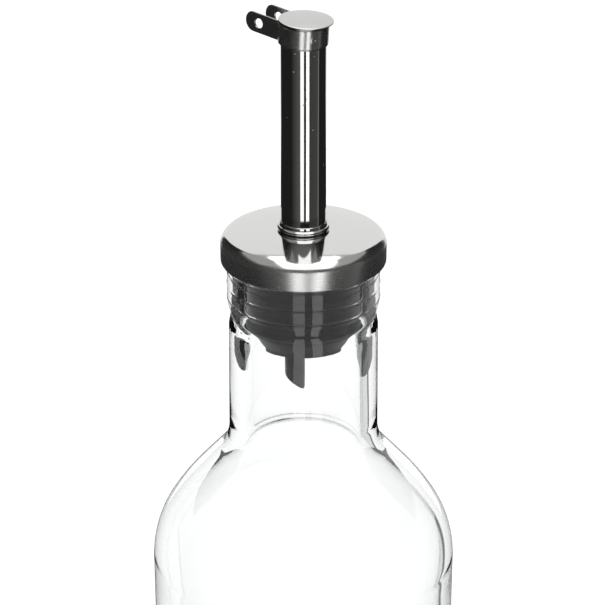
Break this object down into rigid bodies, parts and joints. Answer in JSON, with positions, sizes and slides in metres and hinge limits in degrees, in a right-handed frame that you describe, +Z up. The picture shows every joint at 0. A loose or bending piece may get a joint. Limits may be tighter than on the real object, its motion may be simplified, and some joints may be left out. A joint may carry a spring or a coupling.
{
  "type": "oil bottle",
  "caption": "Round clear glass oil bottle with a long neck and a black stopper under a steel dome, straight steel spout tube and closed cap with two hinge ears.",
  "frame": {"origin": "on the bottle's axis, at the level of the surface it stands on", "axes": "+Z up along the bottle's axis; -Y is the front; the cap's two ears point to -X and +Y"},
  "size_m": [0.0648, 0.0648, 0.2928],
  "materials": {
    "clear_glass": "clear soda-lime glass, fire-polished",
    "black_synthetic": "moulded, satin black",
    "stainless_steel": "pressed stainless steel, polished"
  },
  "bodies": {
    "root": {"bottle": "clear_glass", "stopper": "black_synthetic", "breather_tube": "black_synthetic", "dome": "stainless_steel", "ferrule": "stainless_steel", "spout_tube": "stainless_steel", "cap_sleeve": "stainless_steel", "lid": "stainless_steel"}
  },
  "joints": []
}
